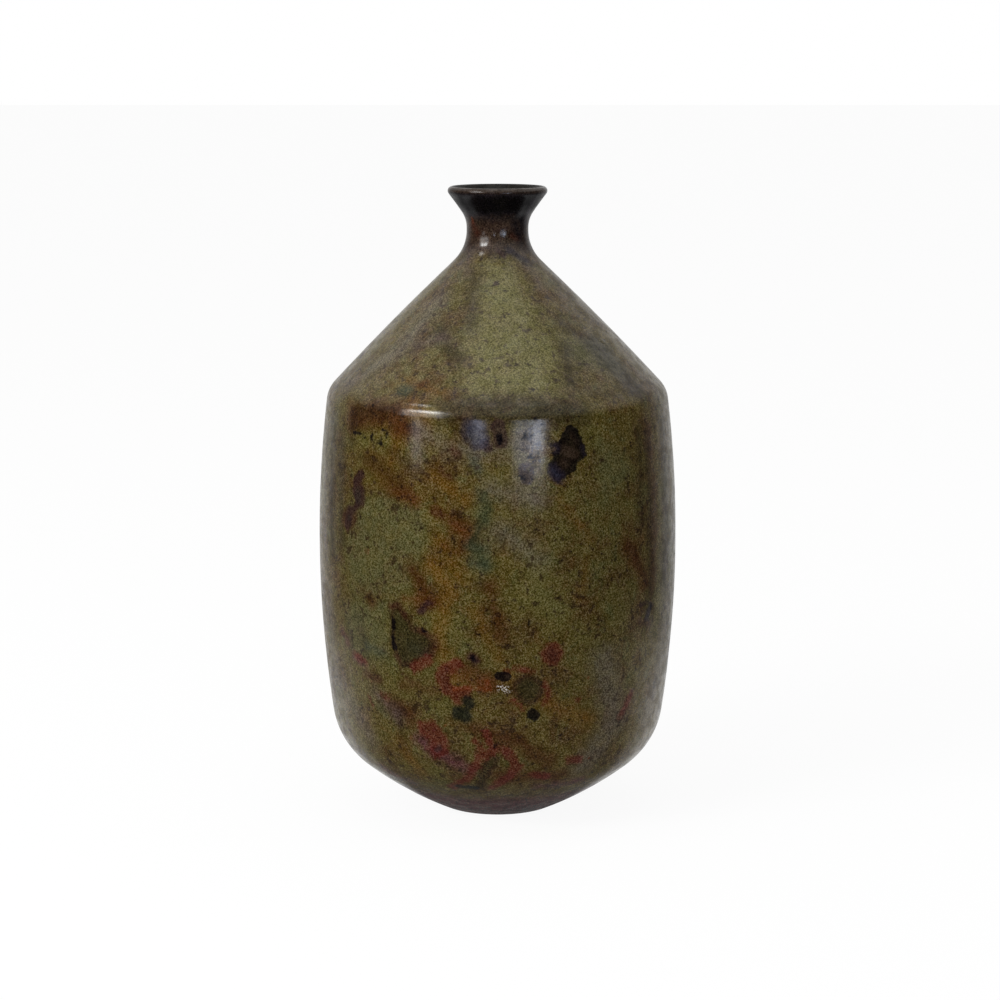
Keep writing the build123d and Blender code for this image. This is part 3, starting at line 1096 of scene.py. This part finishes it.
def softbox(name, azimuth, elevation, width, height, watts, tint=WHITE):
    """A soft lamp in the direction of an azimuth, counted from the front, and an elevation."""
    turn, rise = math.radians(azimuth), math.radians(elevation)
    away = Vector((math.sin(turn) * math.cos(rise), -math.cos(turn) * math.cos(rise), math.sin(rise)))
    data = bpy.data.lights.new(name, "AREA")
    data.shape = "RECTANGLE"
    data.size, data.size_y = width, height
    data.energy = watts
    data.color = linear(tint)[:3]
    lamp = add_object(name, data)
    lamp.location = away * LAMP_DISTANCE + Vector((0, 0, LAMP_AIM * MM))
    lamp.rotation_euler = away.to_track_quat("Z", "Y").to_euler()


FLOOR_GLOW = 0.93
FLOOR_NEAR_LEVEL = 1.1
FLOOR_NEAR_REACH = (0.12, 0.50)
FLOOR_NEAR_EDGE = (-0.45, 0.25)
FLOOR_FRONT_LEVEL = 0.20
FLOOR_GAP = 0.02
FLOOR_SIZE = 12.0


def pale_floor():
    """A white floor that keeps a faint shadow of the vase. The metal mirrors it as it mirrors the room."""
    material, tree, output = new_material("white_paper")
    paper = add(tree, "BsdfDiffuse", {"Color": linear(PAPER_WHITE)})
    glow = add(tree, "Emission", {"Color": linear(WHITE), "Strength": 1.0})
    ray = add(tree, "LightPath")
    links = {0: ray.outputs["Is Camera Ray"], 1: ray.outputs["Is Transmission Ray"]}
    seen = add(tree, "Math", links, operation="MAXIMUM").outputs[0]
    share = add(tree, "Math", {0: seen, 1: FLOOR_GLOW}, operation="MULTIPLY").outputs[0]
    plain = add(tree, "MixShader", {0: share, 1: paper.outputs[0], 2: glow.outputs[0]}).outputs[0]
    place = add(tree, "TexCoord").outputs["Object"]
    away = add(tree, "VectorMath", {0: place}, operation="LENGTH").outputs["Value"]
    direction = add(tree, "VectorMath", {0: place}, operation="NORMALIZE").outputs[0]
    behind = add(tree, "SeparateXYZ", {0: direction}).outputs["Y"]
    near, far = FLOOR_NEAR_REACH
    limits = {0: away, 1: near, 2: far, 3: 1.0, 4: 0.0}
    share = add(tree, "MapRange", limits, **SMOOTH).outputs[0]
    low, high = FLOOR_NEAR_EDGE
    limits = {0: behind, 1: low, 2: high, 3: FLOOR_FRONT_LEVEL, 4: FLOOR_NEAR_LEVEL}
    close = add(tree, "MapRange", limits, **SMOOTH).outputs[0]
    close = add(tree, "Math", {0: close, 1: share}, operation="MULTIPLY").outputs[0]
    backdrop = mirrored_backdrop(tree, direction)
    level = add(tree, "Math", {0: backdrop, 1: close}, operation="MAXIMUM").outputs[0]
    mirrored = add(tree, "Emission", {"Color": linear(WHITE), "Strength": level}).outputs[0]
    links = {0: ray.outputs["Is Glossy Ray"], 1: plain, 2: mirrored}
    both = add(tree, "MixShader", links).outputs[0]
    # From below the floor is clear, so that the underside of the vase can be looked at
    below = add(tree, "NewGeometry").outputs["Backfacing"]
    clear = add(tree, "BsdfTransparent").outputs[0]
    both = add(tree, "MixShader", {0: below, 1: both, 2: clear}).outputs[0]
    tree.links.new(both, output.inputs["Surface"])
    mesh = bmesh.new()
    drop = Matrix.Translation((0, 0, -FLOOR_GAP * MM))
    bmesh.ops.create_grid(mesh, x_segments=1, y_segments=1, size=FLOOR_SIZE, matrix=drop)
    data = bpy.data.meshes.new("floor")
    mesh.to_mesh(data)
    mesh.free()
    floor = add_object("floor", data)
    data.materials.append(material)


bpy.context.scene.view_settings.view_transform = "Standard"
white_room()
for name, settings in LAMPS.items():
    softbox(name, *settings)
pale_floor()

bronze = patinated_bronze()
shell = cast_shell(bronze)
shell_mesh = bmesh.new()
shell_mesh.from_mesh(shell.data)
shell_wall = BVHTree.FromBMesh(shell_mesh)
shell_mesh.free()
plugs = core_plugs(shell_wall, bronze)
for piece in (shell, plugs):
    skin = Skin(piece)
    paint_seen(skin, shell_wall)
    paint_unseen(skin, shell_wall)
    skin.keep()

for node, material in (("base_plate", plain_bronze()), ("base_solder", soft_solder())):
    bpy.data.objects[node].material_slots[0].material = material
